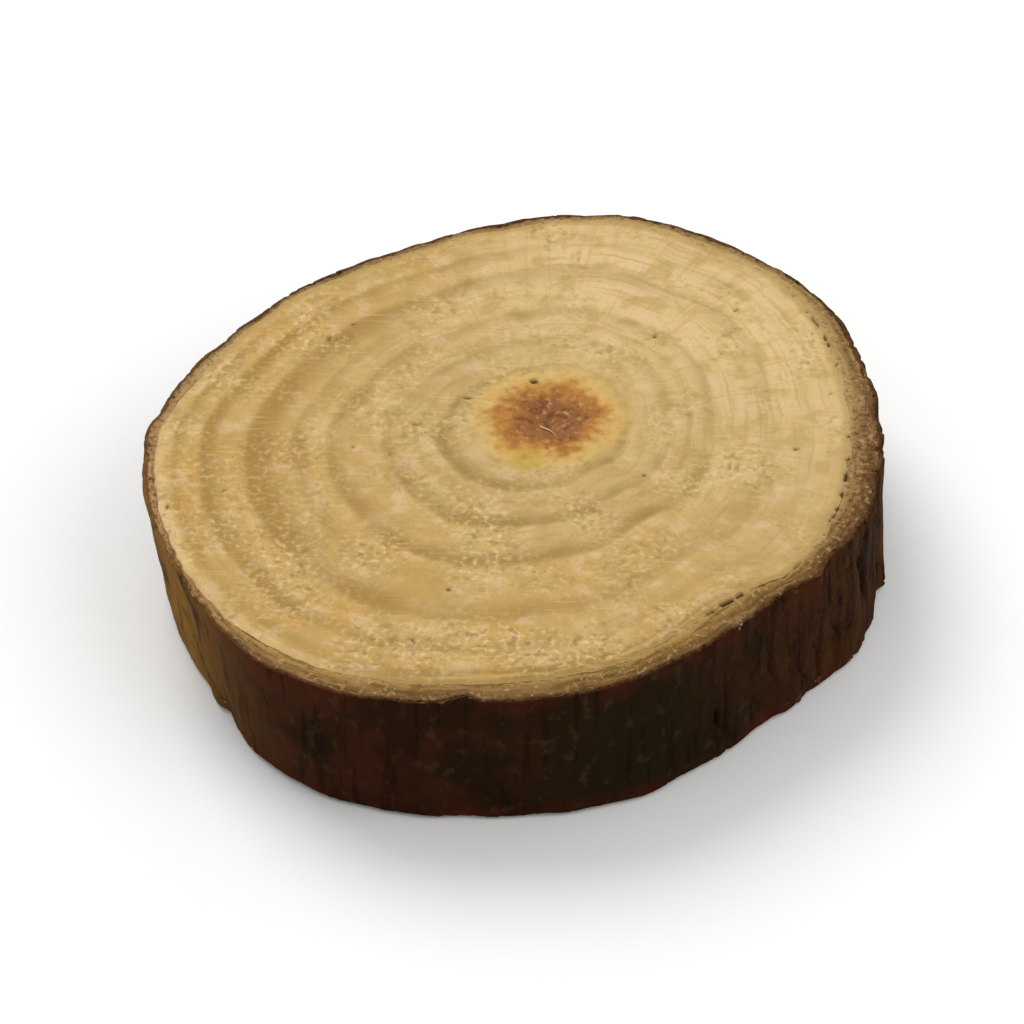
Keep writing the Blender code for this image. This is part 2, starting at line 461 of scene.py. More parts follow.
CRACK_NEAR = 5.0 * MM
CRACK_WIND = 0.42 * MM
CRACK_WIND_PITCH = 1.3 * MM
CRACK_FRAY = 0.16 * MM
CRACK_FRAY_PITCH = 0.35 * MM
CRACK_TIP = 0.30
CRACK_FLARE = 2.2


def hump(distance, reach):
    share = min(distance / reach, 1.0)
    return (1 - share * share) ** 2


def apart_on_wall(bearing, height, mark):
    mark_bearing, mark_height = mark
    across = turn_between(bearing, math.radians(mark_bearing)) * MEAN_RADIUS
    return Vector((across, (height - mark_height) * THICKNESS))


def winding_at(place):
    """How far the cracks stray sideways at a place on the branch."""
    slow = noise.noise(Vector((place.x, place.y, place.z / 2)) / CRACK_WIND_PITCH)
    return CRACK_WIND * slow + CRACK_FRAY * noise.noise(place / CRACK_FRAY_PITCH)


def crack_depth(bearing, height, narrowing=1.0):
    """The deepest of the cracks here. Each winds between its two ends and thins out at its tips."""
    deepest = 0.0
    for start, end, half_width, depth in CRACKS:
        from_start = apart_on_wall(bearing, height, start)
        if abs(from_start.x) > CRACK_NEAR:
            continue
        line = apart_on_wall(math.radians(end[0]), end[1], start)
        share = min(max(from_start.dot(line) / line.length_squared, 0.0), 1.0)
        from_line = from_start - line * share
        from_line.x += winding_at(on_branch(bearing, height))
        to_tip = share if end[1] < 0 else min(share, 1 - share)
        left = min(CRACK_TIP + CRACK_FLARE * to_tip, 1.0)
        deepest = max(deepest, depth * left * hump(from_line.length, half_width * narrowing * left))
    return deepest


def knob_rise(bearing, height):
    total = 0.0
    for at, up, reach, rise in KNOBS:
        total += rise * hump(apart_on_wall(bearing, height, (at, up)).length, reach)
    return total


print("cracks:", len(CRACKS), "knobs and chips:", len(KNOBS))

# %% [markdown]
# ## Fine relief of the bark
#
# What the solid leaves out is smaller than a millimetre: hair-thin fissures that run up the branch,
# plates that have lifted at their edges, and a dry grain. Fissures are the places where a stretched noise
# crosses zero, which gives thin branching lines. Plates are Voronoi cells, each sunk by its own small
# amount, so that neighbours meet in a step. All of it goes inwards only, because the finished mesh has to
# stay inside the solid's box.

# %% Small relief of the bark
FISSURE_PITCH = 1.1 * MM
FISSURE_LENGTH = 4.6 * MM
FISSURE_SHARE = 0.10
FISSURE_SMOOTH = 0.05 * MM
FISSURE_ROUGH = 0.20 * MM
FISSURE_BEND = 0.22
FISSURE_BEND_PITCH = 0.9 * MM
FISSURE_PATCH = 3.1 * MM
PLATE_PITCH = 1.5 * MM
PLATE_TALL = 2.4
PLATE_SINK = 0.07 * MM
PLATE_JITTER = 0.16
PLATE_JITTER_PITCH = 0.7 * MM
GRAIN_PITCH = 0.32 * MM
GRAIN_DEPTH = 0.035 * MM
CRACK_CORE = 0.40
CRACK_CORE_DEPTH = 0.3


def fissure_depth(bearing, height):
    place = on_branch(bearing, height)
    stretched = Vector((place.x / FISSURE_PITCH, place.y / FISSURE_PITCH, place.z / FISSURE_LENGTH + 3.7))
    bent = noise.noise(place / FISSURE_BEND_PITCH) * FISSURE_BEND
    line = 1 - min(abs(noise.noise(stretched) + bent) / FISSURE_SHARE, 1.0)
    patch = noise.noise(place / FISSURE_PATCH + SCALE_OFFSET) * 3 + 0.4
    patchy = 0.5 + 0.5 * min(max(patch, -1.0), 1.0)
    return line * patchy * (FISSURE_SMOOTH + (FISSURE_ROUGH - FISSURE_SMOOTH) * roughness_at(bearing))


def plate_depth(bearing, height):
    place = on_branch(bearing, height)
    place.z /= PLATE_TALL
    jitter = noise.noise_vector(place / PLATE_JITTER_PITCH) * PLATE_JITTER
    nearest = noise.voronoi(place / PLATE_PITCH + jitter)[1][0]
    return PLATE_SINK * (0.5 + 0.5 * noise.noise(nearest * 3.3))


def grain_depth(bearing, height):
    place = on_branch(bearing, height)
    place.z /= 2.0
    return GRAIN_DEPTH * (0.5 + 0.5 * noise.noise(place / GRAIN_PITCH))


def bark_depth(bearing, height):
    """How far the fine relief sinks below the solid's surface."""
    core = CRACK_CORE_DEPTH * crack_depth(bearing, height, CRACK_CORE)
    plates = plate_depth(bearing, height)
    return fissure_depth(bearing, height) + plates + grain_depth(bearing, height) + core


def bark_point(bearing, height, inset, depth):
    relief = ribs(bearing, height) + knob_rise(bearing, height) - crack_depth(bearing, height)
    return branch_point(bearing, height, outline_radius(bearing, height) + relief - depth - inset)


def wood_edge_point(bearing, height):
    return branch_point(bearing, height, outline_radius(bearing, height) - bark_width(bearing))


print("fine relief at the front, mm:", round(bark_depth(math.radians(270), 0.5) / MM, 3))

# %% [markdown]
# ## A stack of rings
#
# All three meshes are made in one way. A circle of unit radius is extruded into a stack of rings joined
# by faces, and then each point is moved to where a formula wants it. Its bearing is read from the unit
# circle just before that. Screw or spin could turn a profile too, but here no two bearings have the same
# profile.

# %% Helpers for rings
def next_ring(bm, edges):
    """Extrudes a ring of edges, and gives the points and the edges of the new ring."""
    made = bmesh.ops.extrude_edge_only(bm, edges=edges)["geom"]
    ring = [item for item in made if isinstance(item, bmesh.types.BMVert)]
    members = set(ring)
    made_edges = [item for item in made if isinstance(item, bmesh.types.BMEdge)]
    return ring, [edge for edge in made_edges if members.issuperset(edge.verts)]


def ring_stack(bm, columns, count):
    rings = [bmesh.ops.create_circle(bm, cap_ends=False, radius=1.0, segments=columns)["verts"]]
    edges = bm.edges[:]
    while len(rings) < count:
        ring, edges = next_ring(bm, edges)
        rings.append(ring)
    return rings


def edges_of(bm, ring):
    members = set(ring)
    return [edge for edge in bm.edges if members.issuperset(edge.verts)]


def close_round(bm, rings):
    """Joins the last ring to the first, which closes a hoop."""
    bmesh.ops.bridge_loops(bm, edges=edges_of(bm, rings[0]) + edges_of(bm, rings[-1]))


def bearing_of(vert):
    return math.atan2(vert.co.y, vert.co.x)


print("girth to be shared out in columns, mm:", round(math.tau * MEAN_RADIUS / MM, 1))

# %% [markdown]
# ## Growth rings
#
# Each year the tree lays a ring of wood round the last one, pale in spring and darker in late summer. A
# place on the cut is given by its bearing and its growth, from 0 at the pith to 1 at the bark, and the
# rings are lines of equal growth. Their spacing follows the good and bad years, so it is a short list and
# not a formula: each ring has its growth, half width, strength, the bearing where it is strongest, and
# how much of it goes all round.

# %% Dark bands of the late wood
PITH_AT = Vector((1.0, 1.6)) * MM
WOOD_RADIUS = 14.0 * MM
RINGS = (
    (0.190, 0.24 * MM, 0.45, 200.0, 0.5),
    (0.270, 0.36 * MM, 0.85, 230.0, 0.7),
    (0.335, 0.26 * MM, 0.45, 170.0, 0.4),
    (0.410, 0.36 * MM, 0.75, 250.0, 0.6),
    (0.475, 0.26 * MM, 0.45, 20.0, 0.2),
    (0.550, 0.42 * MM, 0.80, 265.0, 0.6),
    (0.645, 0.40 * MM, 0.45, 180.0, 0.3),
    (0.755, 0.62 * MM, 1.00, 180.0, 0.4),
    (0.880, 0.36 * MM, 0.80, 180.0, 0.4),
    (0.955, 0.24 * MM, 0.55, 185.0, 0.2),
)
RING_SIDE = 70.0
RING_WANDER = 0.009
RING_WANDER_PITCH = 7.0 * MM
RING_UNEVEN = 0.5
RING_UNEVEN_PITCH = 3.0 * MM
FADE_IN = 1.5
FADE_OUT = 0.55


def ring_tone(bearing, growth):
    """1 in the middle of a strong dark band. A band darkens slowly outwards and ends more sharply."""
    swing = growth + RING_WANDER * waver(bearing, RING_WANDER_PITCH, 3.0 * growth)
    tone = 0.0
    for at, half_width, strength, strongest_at, all_round in RINGS:
        away = (swing - at) * WOOD_RADIUS / half_width
        if abs(away) > 5:
            continue
        away /= FADE_IN if away < 0 else FADE_OUT
        side = all_round + (1 - all_round) * bell(bearing, strongest_at, RING_SIDE)
        tone = max(tone, strength * side * math.exp(-away * away))
    return tone * (0.85 + RING_UNEVEN * waver(bearing, RING_UNEVEN_PITCH, 9.0 * growth))


print("rings:", len(RINGS))

# %% [markdown]
# ## The pith
#
# The pith is the soft cord in the middle of a branch. It has dried, sunk a little and stained the wood
# round it, rusty in the middle and yellow at its ragged rim. The stain is a value from 0 to 1 on each
# point of the mesh, worked out from the distance to its middle, with noise to fray it. The material only
# has to turn it into colour.

# %% Hollow and stain of the pith
PITH_RADIUS = 1.5 * MM
PITH_DEPTH = 0.26 * MM
PITH_ROUGH_PITCH = 0.45 * MM
STAIN_AT = Vector((1.15, 1.80)) * MM
STAIN_RADIUS = 4.9 * MM
STAIN_ROUND = 0.93
STAIN_TURN = math.radians(20)
STAIN_FRAYS = ((1.3 * MM, 0.10), (0.40 * MM, 0.11))
MUSTARD_AT = Vector((0.30, -0.90)) * MM
MUSTARD_REACH = 1.2 * MM


def smooth_step(low, high, value):
    share = min(max((value - low) / (high - low), 0.0), 1.0)
    return share * share * (3 - 2 * share)


def pith_depth(from_pith):
    """The hollow, with a rough floor."""
    rough = 0.7 + 0.5 * noise.noise(from_pith.to_3d() / PITH_ROUGH_PITCH)
    return PITH_DEPTH * rough * hump(from_pith.length, PITH_RADIUS)


def stain_at(from_axis):
    """How strong the pith's stain is at a step from the branch's axis."""
    step = from_axis - STAIN_AT
    step.rotate(Matrix.Rotation(-STAIN_TURN, 2))
    distance = math.hypot(step.x, step.y / STAIN_ROUND) / STAIN_RADIUS
    fray = sum(share * noise.noise(from_axis.to_3d() / pitch) for pitch, share in STAIN_FRAYS)
    return 1 - smooth_step(0.0, 1.0, distance + fray)


print("stain in its middle:", round(stain_at(STAIN_AT.copy()), 2))

# %% [markdown]
# ## The sawn surface
#
# A saw leaves the end grain rough: pores are torn open, fibres stand up, the late wood is a trifle lower,
# and the blade's teeth draw faint straight lines. The whole cut is one flat plane from a step away, so
# every one of these is a small depth below that plane, added up. Fibres are torn in patches, most of all
# where the saw came out and round the pith.

# %% Depths on a cut
RING_GROOVE = 0.035 * MM
FUZZ_PITCH = 0.34 * MM
FUZZ_DEPTH = 0.05 * MM
TORN_SHARES = (0.22, 0.36, 0.45, 1.15)
TORN_PITH_REACH = 5.2 * MM
TORN_PATCH = 2.7 * MM
SAW_EXIT = (-0.62, -0.79)
TORN_SLOPE = (-6 * MM, 11 * MM)
PORE_PITCH = 0.50 * MM
PORE_DEPTH = 0.10 * MM
PORE_OPEN = (0.72, 0.96)
SAW_PITCH = 0.42 * MM
SAW_RUN = 6.0 * MM
SAW_DEPTH = 0.02 * MM
EDGE_DEPTH = 0.03 * MM
EDGE_REACH = 0.4 * MM


def reach_towards(heading, from_axis):
    return heading[0] * from_axis.x + heading[1] * from_axis.y


def fuzz_at(from_axis):
    """How torn the fibres are: in patches, more where the saw came out and round the pith."""
    everywhere, exit_side, pith, patchy = TORN_SHARES
    side = smooth_step(*TORN_SLOPE, reach_towards(SAW_EXIT, from_axis))
    near_pith = hump((from_axis - PITH_AT).length, TORN_PITH_REACH)
    patches = noise.noise(from_axis.to_3d() / TORN_PATCH)
    return min(max(everywhere + exit_side * side + pith * near_pith + patchy * patches, 0.0), 1.0)


def pore_depth(from_axis, z, fuzz):
    place = Vector((from_axis.x, from_axis.y, z))
    opened = smooth_step(*PORE_OPEN, noise.noise(place / PORE_PITCH + SCALE_OFFSET) + 0.10 * fuzz)
    return PORE_DEPTH * opened


def saw_depth(from_axis, z):
    place = Vector((from_axis.x / SAW_RUN, from_axis.y / SAW_PITCH, z))
    return SAW_DEPTH * (0.5 + 0.5 * noise.noise(place))


print("torn fibres round the pith, 0 to 1:", round(fuzz_at(PITH_AT), 2))

# %% [markdown]
# ## Pits and the open seam
#
# A few pits are large enough to be seen one by one, so each is listed, as a small ellipse with its
# own depth. The seam, where the wood meets the bark, has dried open on two stretches. Its short dashes are
# where noise round the girth is high, which is quicker than placing them and never looks regular.

# %% Pits and seam of a cut
PITS = (
    (Vector((0.48, 4.19)) * MM, 0.30 * MM, 0.20 * MM, 0.20 * MM),
    (Vector((11.56, 0.13)) * MM, 0.17 * MM, 0.17 * MM, 0.14 * MM),
    (Vector((-2.30, 3.00)) * MM, 0.34 * MM, 0.13 * MM, 0.12 * MM),
    (Vector((-12.10, -3.20)) * MM, 0.20 * MM, 0.16 * MM, 0.12 * MM),
    (Vector((-2.60, -8.90)) * MM, 0.18 * MM, 0.15 * MM, 0.12 * MM),
    (Vector((5.20, -1.70)) * MM, 0.16 * MM, 0.16 * MM, 0.10 * MM),
)
SEAM_STRETCHES = ((8.0, 34.0, 1.0), (317.0, 13.0, 1.0))
SEAM_PITCH = 0.30 * MM
SEAM_DASH = (0.05, 0.40)
SEAM_DEPTH = 0.18 * MM
SEAM_REACH = 0.17 * MM


def pit_at(from_axis, pits):
    """The depth of single pits and torn-out pores, each an ellipse lying along X."""
    deepest = 0.0
    for place, half_length, half_width, depth in pits:
        step = from_axis - place
        if abs(step.x) < half_length and abs(step.y) < half_width:
            share = math.hypot(step.x / half_length, step.y / half_width)
            deepest = max(deepest, depth * hump(share, 1.0))
    return deepest


@functools.cache
def seam_at(bearing):
    """How far the seam between wood and bark has opened, from 0 to 1, in dashes on two stretches."""
    dashes = waver(bearing, SEAM_PITCH, 21.5) + 0.4 * waver(bearing, 3 * SEAM_PITCH, 25.5)
    return highest_bell(bearing, SEAM_STRETCHES) * smooth_step(*SEAM_DASH, dashes)


print("pits:", len(PITS), "open stretches of the seam:", len(SEAM_STRETCHES))

# %% [markdown]
# ## Tones of the wood
#
# No piece of wood has one tone all over. Here it is a warmer gold towards the front and the left, paler
# towards the back and the right. That slope is partly the wood's own tone and partly painted light,
# lighter at the back and darker at the front. Its youngest ring is olive along the front and almost
# white on the left. Each of these is a soft slope over the cut, from 0 to 1, and the material will lay a
# coat of paint where it is high.

# %% Slopes of tone over a cut
FRONT_LEFT = (-0.75, -0.66)
BACK_RIGHT = (0.55, 0.83)
GOLD_AND_SHADE_SLOPE = (-9 * MM, 12 * MM)
PALE_AND_LIGHT_SLOPE = (1 * MM, 13 * MM)
GOLD_GROWTH = (0.2, 0.8)
GOLD_EDGE_GROWTH = (0.66, 0.92)
PALE_END_GROWTH = (0.84, 1.0)
PALE_EDGE_GROWTH = (0.966, 0.984)
OLIVE_GROWTH = (0.925, 0.985)
PALE_EDGE = ((205.0, 36.0, 0.8),)
OLIVE_EDGE = ((280.0, 42.0, 1.0),)
GOLD_EDGE = ((132.0, 38.0, 1.0),)
SEAM_SHADE = 0.5 * MM
SEAM_CLEAN = ((205.0, 40.0, 1.0),)


def gold_edge_at(bearing, growth):
    """The youngest wood is golden at the back left."""
    return bells(bearing, GOLD_EDGE) * smooth_step(*GOLD_EDGE_GROWTH, growth)


def gold_at(bearing, from_axis, growth):
    # Gold towards the front left: partly the wood's own tone, partly painted shade.
    forward = 1.1 * smooth_step(*GOLD_AND_SHADE_SLOPE, reach_towards(FRONT_LEFT, from_axis))
    forward *= smooth_step(*GOLD_GROWTH, growth)
    return min(0.25 + forward + 0.8 * gold_edge_at(bearing, growth), 1.0)


def pale_at(bearing, from_axis, growth):
    """Pale towards the back right, partly as painted light, and in a thin line inside the bark on the left.
    """
    ending = 1 - 0.5 * smooth_step(*PALE_END_GROWTH, growth)
    backward = smooth_step(*PALE_AND_LIGHT_SLOPE, reach_towards(BACK_RIGHT, from_axis))
    backward *= 0.9 * (1 - gold_edge_at(bearing, growth)) * ending
    return max(backward, bells(bearing, PALE_EDGE) * smooth_step(*PALE_EDGE_GROWTH, growth))


def olive_at(bearing, growth):
    return smooth_step(*OLIVE_GROWTH, growth) * bells(bearing, OLIVE_EDGE)


def seam_shade_at(bearing, to_edge):
    """The wood darkens against the bark, but not where its edge is pale."""
    return hump(to_edge, SEAM_SHADE) * (1 - bells(bearing, SEAM_CLEAN))


print("paleness in the middle:", round(pale_at(0.0, PITH_AT, 0.0), 2))

# %% [markdown]
# ## The wood
#
# The wood is a plain disc, sawn above and below. Its mesh is one stack of rings: out from the pith over
# the upper cut, down the hidden edge, and back in over the lower cut, each end closed by drawing its ring
# into one point. While a point is placed, it also gets the values that its material reads, such as late
# wood, stain, torn fibres and pits. A fan of directions goes with them, along which rays and thin layers
# will be drawn.

# %% Model the wood
WOOD_COLUMNS = 640
UPPER_RINGS = 92
LOWER_RINGS = 54
PIT_SHADE_FULL = 0.12 * MM
WOOD_VALUES = ("late_wood", "stain", "torn", "pit", "gold", "pale", "olive", "mustard", "seam")


def value_layers(bm, names):
    numbers = [bm.verts.layers.float.new(name) for name in names]
    return numbers, bm.verts.layers.float_vector.new("fan")


def carry(vert, layers, values, bearing, share):
    """Gives a point its values, in the order of their names, and its direction in the fan."""
    numbers, fan = layers
    for layer, value in zip(numbers, values):
        vert[layer] = value
    vert[fan] = (math.cos(bearing), math.sin(bearing), share)


def place_cut(rings, height, layers, pits):
    """Lays rings over a cut, the first at the pith and the last where wood meets bark."""
    inward = -1 if height > 0.5 else 1
    axis = axis_at(height)
    z = height * THICKNESS
    for step, ring in enumerate(rings):
        growth = step / (len(rings) - 1)
        for vert in ring:
            bearing = bearing_of(vert)
            point = (axis + PITH_AT).lerp(wood_edge_point(bearing, height), growth)
            from_axis = point - axis
            late_wood = ring_tone(bearing, growth)
            torn = fuzz_at(from_axis)
            to_edge = (1 - growth) * WOOD_RADIUS
            pit = pit_at(from_axis, pits) + pore_depth(from_axis, z, torn)
            pit += SEAM_DEPTH * seam_at(bearing) * hump(to_edge, SEAM_REACH)
            fuzz = noise.noise(Vector((point.x, point.y, z)) / FUZZ_PITCH)
            depth = pit + RING_GROOVE * late_wood + FUZZ_DEPTH * torn * (0.5 + 0.5 * fuzz)
            depth += saw_depth(from_axis, z) + pith_depth(from_axis - PITH_AT)
            depth += EDGE_DEPTH * hump(to_edge, EDGE_REACH)
            vert.co = (point.x, point.y, z + inward * depth)
            values = (
                late_wood,
                stain_at(from_axis),
                torn,
                # painted shade in pits, pores and the open seam, by their depth
                min(pit / PIT_SHADE_FULL, 1.0),
                gold_at(bearing, from_axis, growth),
                pale_at(bearing, from_axis, growth),
                olive_at(bearing, growth),
                hump((from_axis - MUSTARD_AT).length, MUSTARD_REACH),
                seam_shade_at(bearing, to_edge),
            )
            carry(vert, layers, values, bearing, growth)


def wood_mesh():
    bm = bmesh.new()
    layers = value_layers(bm, WOOD_VALUES)
    rings = ring_stack(bm, WOOD_COLUMNS, UPPER_RINGS + LOWER_RINGS)
    upper, lower = rings[:UPPER_RINGS], rings[UPPER_RINGS:][::-1]
    place_cut(upper, 1.0, layers, PITS)
    place_cut(lower, 0.0, layers, ())
    for ring in (upper[0], lower[0]):
        bmesh.ops.pointmerge(bm, verts=ring, merge_co=ring[0].co)
    return bm


wood_bm = wood_mesh()
print("wood faces:", len(wood_bm.faces))

# %% [markdown]
# ## The inner bark
#
# Between wood and outer bark lies the bast, a fibrous layer about a millimetre thick. It is softer than
# the wood, so the saw left it a little lower and ragged. It is a hoop: over the upper cut outwards, down
# inside the outer bark, back over the lower cut and up inside the wood. Its edges dip under their
# neighbours, so no gap shows.

# %% Model the inner bark
BAST_COLUMNS = 960
BAST_STEPS = 12
BAST_TUCK = 0.08 * MM
BAST_TUCK_DROP = 0.42 * MM
BAST_SKIRT = 0.50 * MM
BAST_SKIRT_DROP = 0.70 * MM
BAST_DROP = 0.03 * MM
BAST_FALL = 0.05 * MM
BAST_ROUGH = 0.11 * MM
BAST_ROUGH_PITCH = 0.26 * MM
BAST_LAYER_RUN = 2.2 * MM
BAST_LAYERS = 4.5
BAST_VALUES = ("across", "pit", "rust", "blush", "tan", "shade")
RUST_SIDES = ((355.0, 30.0, 1.0), (188.0, 26.0, 0.9), (100.0, 50.0, 0.25))
TAN_SIDES = ((64.0, 44.0, 1.0), (142.0, 32.0, 1.0))
SHADE_SIDES = ((272.0, 34.0, 1.0), (334.0, 32.0, 1.0))
BLUSH_SIDES = ((190.0, 34.0, 1.0), (263.0, 4.0, 1.0))


@functools.cache
def bast_sides(bearing):
    """Where it is reddish, where it blushes, where it is as light as the wood and where it is dark."""
    rust, tan = min(bells(bearing, RUST_SIDES), 1.0), min(bells(bearing, TAN_SIDES), 1.0)
    return rust, highest_bell(bearing, BLUSH_SIDES), tan, highest_bell(bearing, SHADE_SIDES)


def place_skirt(ring, height):
    """Draws the hidden outer wall in, well behind the cracks of the outer bark."""
    z = height * THICKNESS + (-BAST_SKIRT_DROP if height > 0.5 else BAST_SKIRT_DROP)
    for vert in ring:
        bearing = bearing_of(vert)
        point = branch_point(bearing, height, outline_radius(bearing, height) - 2 * BAST_SKIRT)
        vert.co = (point.x, point.y, z)


def place_bast(rings, height, layers):
    """Lays rings over a cut from the wood's edge, tucked under it, to the outer bark, tucked under that."""
    inward = -1 if height > 0.5 else 1
    last = len(rings) - 1
    z = height * THICKNESS
    for step, ring in enumerate(rings):
        across = min(max((step - 1) / (last - 2), 0.0), 1.0)
        tucked = step in (0, last)
        for vert in ring:
            bearing = bearing_of(vert)
            inner = outline_radius(bearing, height) - bark_width(bearing)
            chipped = min(knob_rise(bearing, height), 0.0) - crack_depth(bearing, height)
            outer = outline_radius(bearing, height) + ribs(bearing, height) + chipped - outer_width(bearing)
            radius = inner + (outer - inner) * across - (step == 0) * BAST_TUCK
            point = branch_point(bearing, height, radius)
            place = Vector((point.x, point.y, z))
            turns = toward(bearing) * (MEAN_RADIUS / BAST_LAYER_RUN)
            felted = noise.noise(Vector((turns.x, turns.y, across * BAST_LAYERS + z / MM)))
            rough = 0.5 + 0.55 * noise.noise(place / BAST_ROUGH_PITCH) + 0.8 * felted
            seam = seam_at(bearing) * hump(radius - inner, SEAM_REACH)
            depth = BAST_DROP + BAST_ROUGH * max(rough, 0.0) + SEAM_DEPTH * seam + tucked * BAST_TUCK_DROP
            depth += BAST_FALL * across
            vert.co = (point.x, point.y, z + inward * depth)
            carry(vert, layers, (across, seam, *bast_sides(bearing)), bearing, across)


def bast_mesh():
    bm = bmesh.new()
    layers = value_layers(bm, BAST_VALUES)
    rings = ring_stack(bm, BAST_COLUMNS, 2 * BAST_STEPS + 2)
    place_bast(rings[:BAST_STEPS], 1.0, layers)
    place_skirt(rings[BAST_STEPS], 1.0)
    place_skirt(rings[BAST_STEPS + 1], 0.0)
    place_bast(rings[BAST_STEPS + 2 :][::-1], 0.0, layers)
    close_round(bm, rings)
    return bm


bast_bm = bast_mesh()
print("inner bark faces:", len(bast_bm.faces))

# %% [markdown]
# ## The outer bark
#
# The outer bark is a dark dry skin, about a fifth of a millimetre thick, worn round at both rims. It is a
# hoop too, with many levels on its outside, where all of its relief is. Each point keeps how deep it lies
# in a fissure, how near it is to a cut, and in which patch of colour, so that painted shade in the
# fissures, and dust, wear and old colour, can be painted where they belong.

# %% Model the outer bark
BARK_COLUMNS = 980
BARK_LEVELS = 70
RIM_PROFILE = ((0.60, 0.80), (0.38, 0.45), (0.26, 0.16), (0.18, 0.08), (0.10, 0.08), (0.04, 0.13))
RIM_CHIP = 0.10 * MM
RIM_CHIP_PITCH = 0.6 * MM
RIM_CHIP_REACH = (0.3 * MM, 0.5 * MM)
RIM_REACH = 1.3 * MM
WORN = 0.2 * MM
FISSURE_SHADE_FULL = 0.30 * MM
FISSURE_SHADE_CRACK = 0.6
SAWN_INSETS = (0.02 * MM, 0.16 * MM)
BROWN_SIDES = ((202.0, 19.0, 1.0), (165.0, 24.0, 0.5))
GREY_SIDES = ((0.0, 36.0, 1.0), (128.0, 55.0, 0.4))
GREEN_AND_SHADE_SIDES = ((290.0, 26.0, 1.0),)
BARK_VALUES = ("sunk", "rim", "brown", "grey", "green", "sawn")


@functools.cache
def bark_sides(bearing):
    """Where the bark is brown, where it is grey and where it is green, the green partly painted shade."""
    return min(bells(bearing, BROWN_SIDES), 1.0), bells(bearing, GREY_SIDES), bells(bearing, GREEN_AND_SHADE_SIDES)


def place_bark_ring(ring, height, inset, z, layers):
    inset_reach, drop_reach = RIM_CHIP_REACH
    near_rim = hump(min(height, 1 - height) * THICKNESS, RIM_REACH)
    sawn = smooth_step(*SAWN_INSETS, inset)
    for vert in ring:
        bearing = bearing_of(vert)
        depth = bark_depth(bearing, height)
        point = bark_point(bearing, height, inset, depth)
        chip = RIM_CHIP * (0.5 + 0.5 * waver(bearing, RIM_CHIP_PITCH, 31.5 + height))
        chip *= hump(inset, inset_reach)
        chip *= hump(min(z, THICKNESS - z), drop_reach)
        vert.co = (point.x, point.y, z + (-chip if height > 0.5 else chip))
        # sunk is painted shade in fissures and cracks, by how deep they lie
        sunk = min((depth + FISSURE_SHADE_CRACK * crack_depth(bearing, height)) / FISSURE_SHADE_FULL, 1.0)
        carry(vert, layers, (sunk, near_rim, *bark_sides(bearing), sawn), bearing, height)


def bark_mesh():
    bm = bmesh.new()
    layers = value_layers(bm, BARK_VALUES)
    rings = ring_stack(bm, BARK_COLUMNS, 2 * len(RIM_PROFILE) + BARK_LEVELS + 1)
    upper = rings[: len(RIM_PROFILE)]
    wall = rings[len(RIM_PROFILE) : -len(RIM_PROFILE)]
    lower = rings[: -len(RIM_PROFILE) - 1 : -1]
    for (inset, drop), above, below in zip(RIM_PROFILE, upper, lower):
        place_bark_ring(above, 1.0, inset * MM, THICKNESS - drop * MM, layers)
        place_bark_ring(below, 0.0, inset * MM, drop * MM, layers)
    for level, ring in enumerate(wall):
        z = THICKNESS - WORN - (THICKNESS - 2 * WORN) * level / BARK_LEVELS
        place_bark_ring(ring, z / THICKNESS, 0.0, z, layers)
    close_round(bm, rings)
    return bm


bark_bm = bark_mesh()
print("outer bark faces:", len(bark_bm.faces))

# %% [markdown]
# ## Loose fibres
#
# The saw has torn up short pale fibres, and one long curl lies across the pith. Hair particles would be
# quicker to make, but they are lost when the model is exported. So each fibre is a small real mesh: a
# three-sided tube, bent and pointed, set with one end in the wood.

# %% Model the fibres
FIBRE_SEED = 41
FIBRE_COUNT = 220
FIBRE_STEPS = 5
FIBRE_LENGTHS = (0.12 * MM, 0.34 * MM)
FIBRE_THICK = 0.026 * MM
FIBRE_ROOT = 0.02 * MM
FIBRE_RISES = (0.03, 0.07)
FIBRE_RISE_MOST = 0.015 * MM
FIBRE_BEND = 0.9
CLEAR_OF_STAIN = 0.3


def add_fibre(bm, points, thickness):
    """A pointed three-sided tube along a list of points."""
    made = bmesh.ops.create_circle(bm, cap_ends=True, radius=1.0, segments=3)["verts"]
    corners = [vert.co.copy() for vert in made]
    edges = list({edge for vert in made for edge in vert.link_edges})
    for step, point in enumerate(points):
        ahead = points[min(step + 1, len(points) - 1)] - points[max(step - 1, 0)]
        turn = ahead.to_track_quat("Z", "Y")
        width = thickness * (1 - step / len(points))
        for vert, corner in zip(made, corners):
            vert.co = point + turn @ (corner * width)
        if step < len(points) - 1:
            made, edges = next_ring(bm, edges)
    bmesh.ops.contextual_create(bm, geom=edges)


def arc_points(start, heading, length, rise, bend):
    """Points along a low arch that starts just under the cut and bends to one side."""
    points = []
    for step in range(FIBRE_STEPS + 1):
        share = step / FIBRE_STEPS
        level = toward(heading + bend * share) * length * share
        lift = rise * math.sin(math.pi * (0.08 + 0.80 * share)) - 0.25 * rise
        points.append(start + Vector((level.x, level.y, lift)))
    return points


